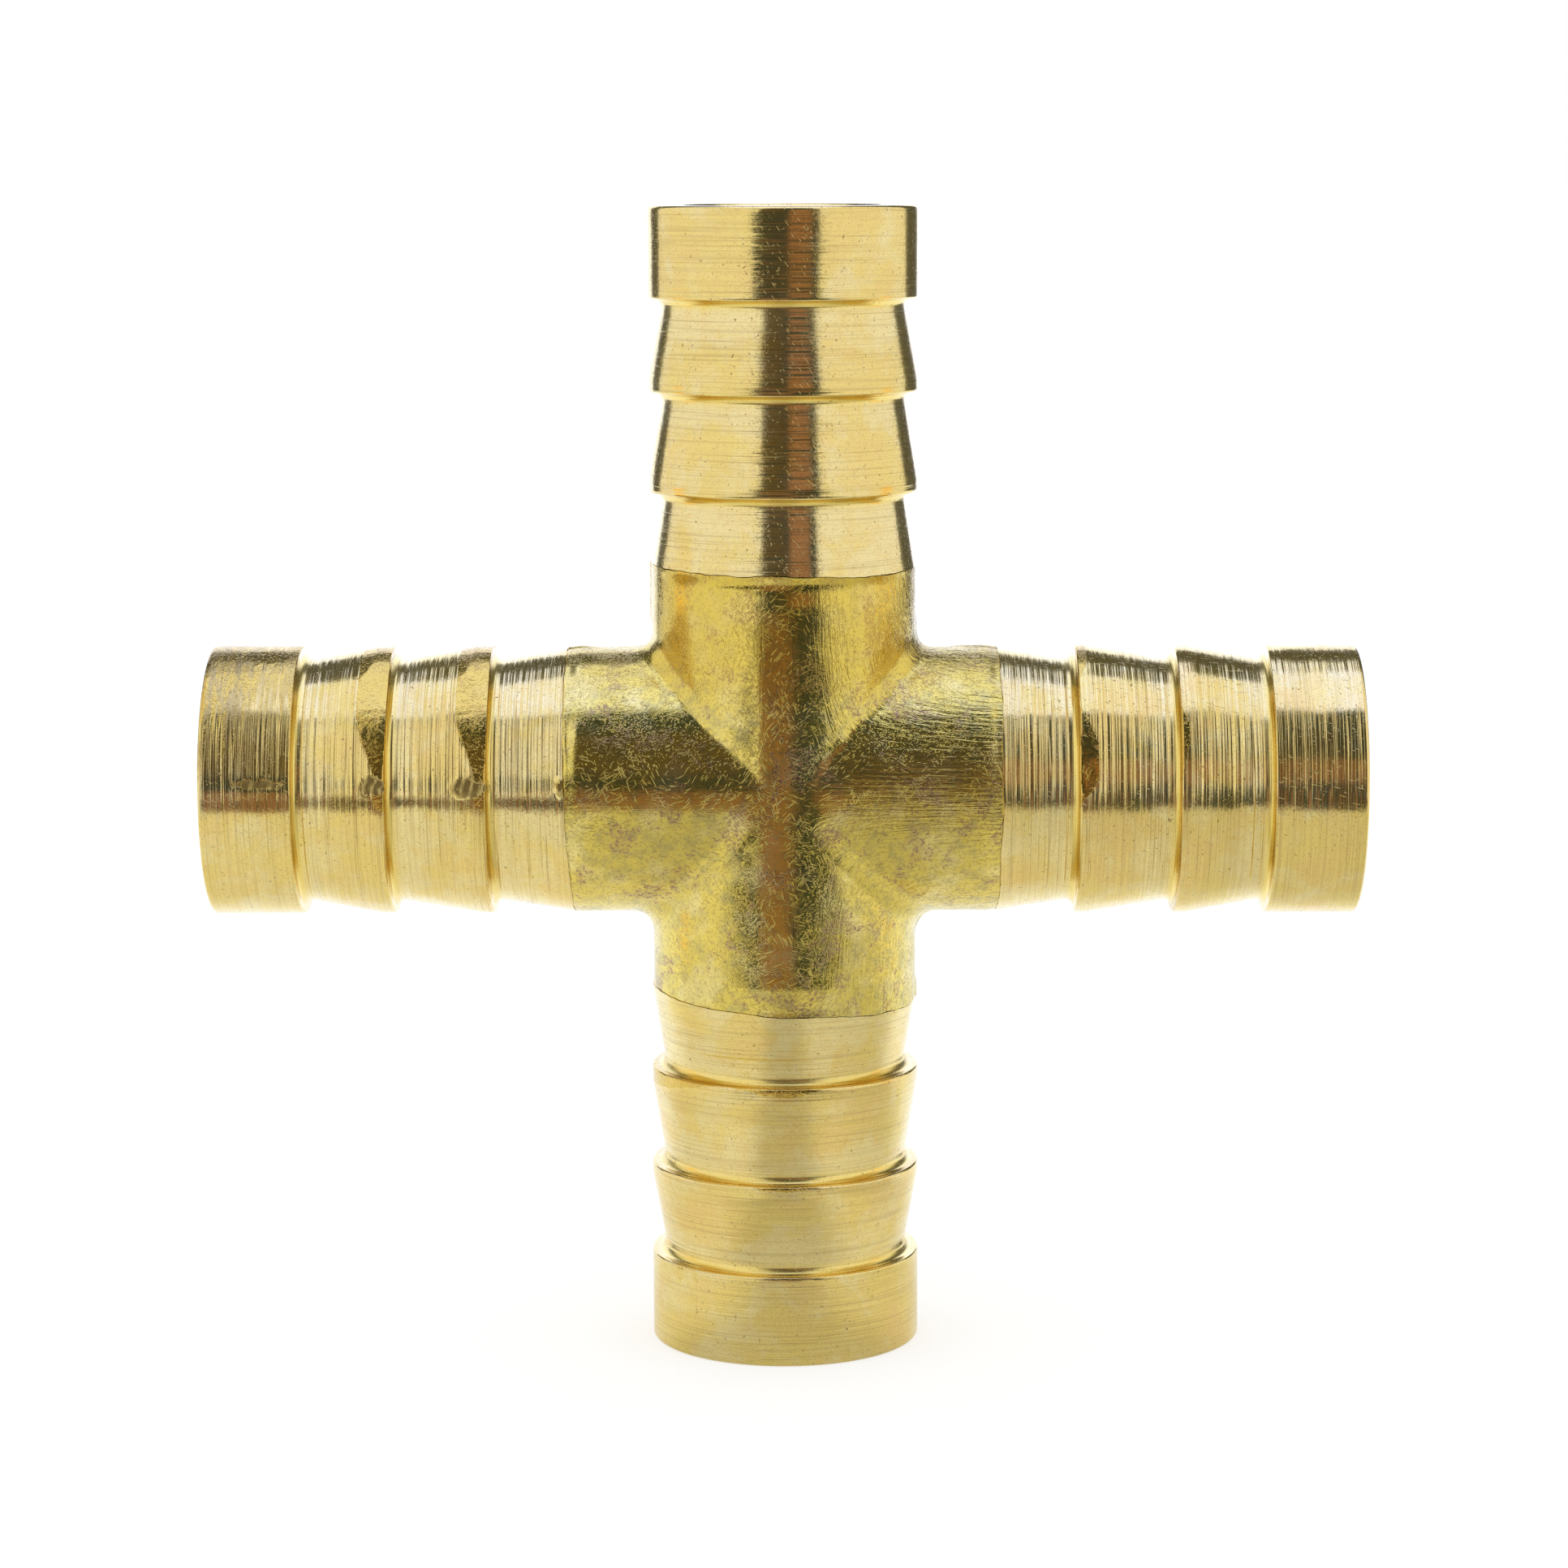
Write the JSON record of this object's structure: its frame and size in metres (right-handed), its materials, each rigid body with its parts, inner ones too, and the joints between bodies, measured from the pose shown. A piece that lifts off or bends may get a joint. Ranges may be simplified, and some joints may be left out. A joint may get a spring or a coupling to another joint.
{
  "type": "barbed hose cross",
  "caption": "Brass barbed cross fitting: equal hose tails set at right angles in one plane on a forged body, bored through both ways to join and branch flexible hoses.",
  "frame": {"origin": "the point where the two waterway axes cross, at the centre of the fitting", "axes": "+X and +Z run along the hose tails, and Y is square to the plane of the cross. The fitting stands upright on the nose of the tail that points to -Z"},
  "size_m": [0.056, 0.0132, 0.056],
  "materials": {
    "forged_brass": "as-forged skin, tumbled, with fine flow scratches and small pits",
    "turned_brass": "lathe-turned, with fine tool rings round the axis"
  },
  "bodies": {
    "root": {"cross_body": "forged_brass", "hose_tail_top": "turned_brass", "hose_tail_bottom": "turned_brass", "hose_tail_left": "turned_brass", "hose_tail_right": "turned_brass"}
  },
  "joints": []
}
